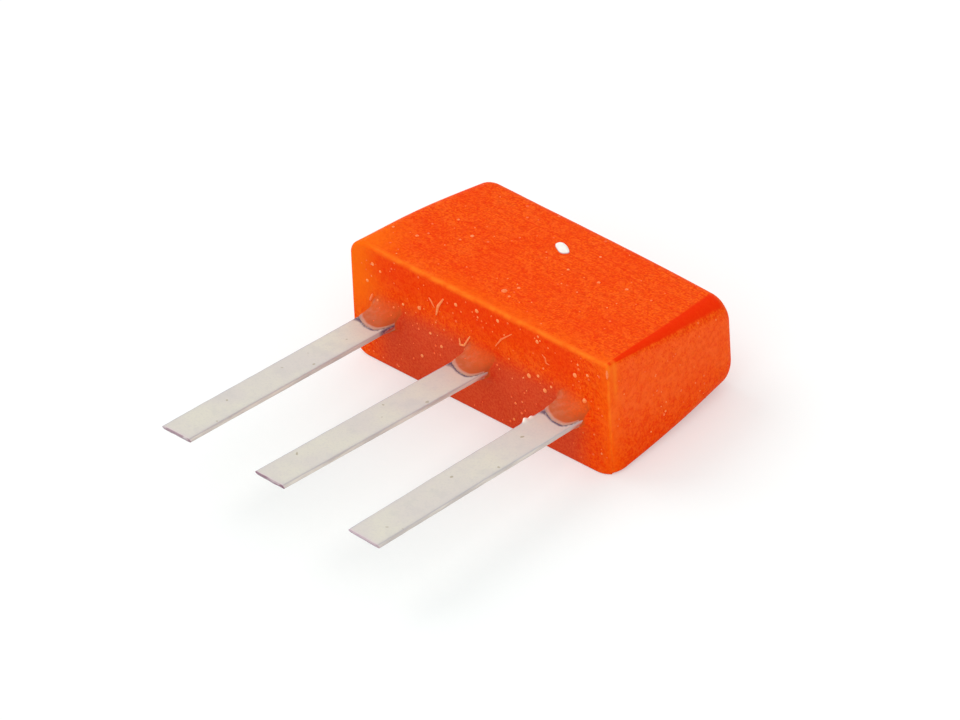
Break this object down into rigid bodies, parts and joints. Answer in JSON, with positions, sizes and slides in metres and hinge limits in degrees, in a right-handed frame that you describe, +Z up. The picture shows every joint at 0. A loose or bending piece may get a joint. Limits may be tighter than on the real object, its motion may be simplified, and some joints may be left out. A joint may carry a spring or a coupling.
{
  "type": "silicon npn transistor",
  "caption": "Small-signal silicon npn transistor: a tapered block of orange epoxy with flat tinned leads in a row from one narrow face.",
  "frame": {"origin": "middle of the lower broad face, which the block lies on", "axes": "+X along the row of leads from the emitter to the base, -Y out along the leads, +Z up through the block's thickness"},
  "size_m": [0.0068, 0.0093, 0.0026],
  "materials": {
    "epoxy": "cast orange-red epoxy, semi-gloss, slightly translucent at its edges, with fine grain and small bubbles",
    "tinned_strip": "matte light grey tin over sheared metal strip, a little blotched",
    "silicon": "polished dark grey silicon",
    "bond_alloy": "dull grey-gold alloy",
    "gold_wire": "bright drawn gold",
    "white_paint": "matte white paint"
  },
  "bodies": {
    "root": {"epoxy_body": "epoxy", "emitter_lead": "tinned_strip", "collector_lead": "tinned_strip", "base_lead": "tinned_strip", "silicon_chip": "silicon", "chip_bond_layer": "bond_alloy", "emitter_bond_wire": "gold_wire", "base_bond_wire": "gold_wire", "paint_dot": "white_paint"}
  },
  "joints": []
}
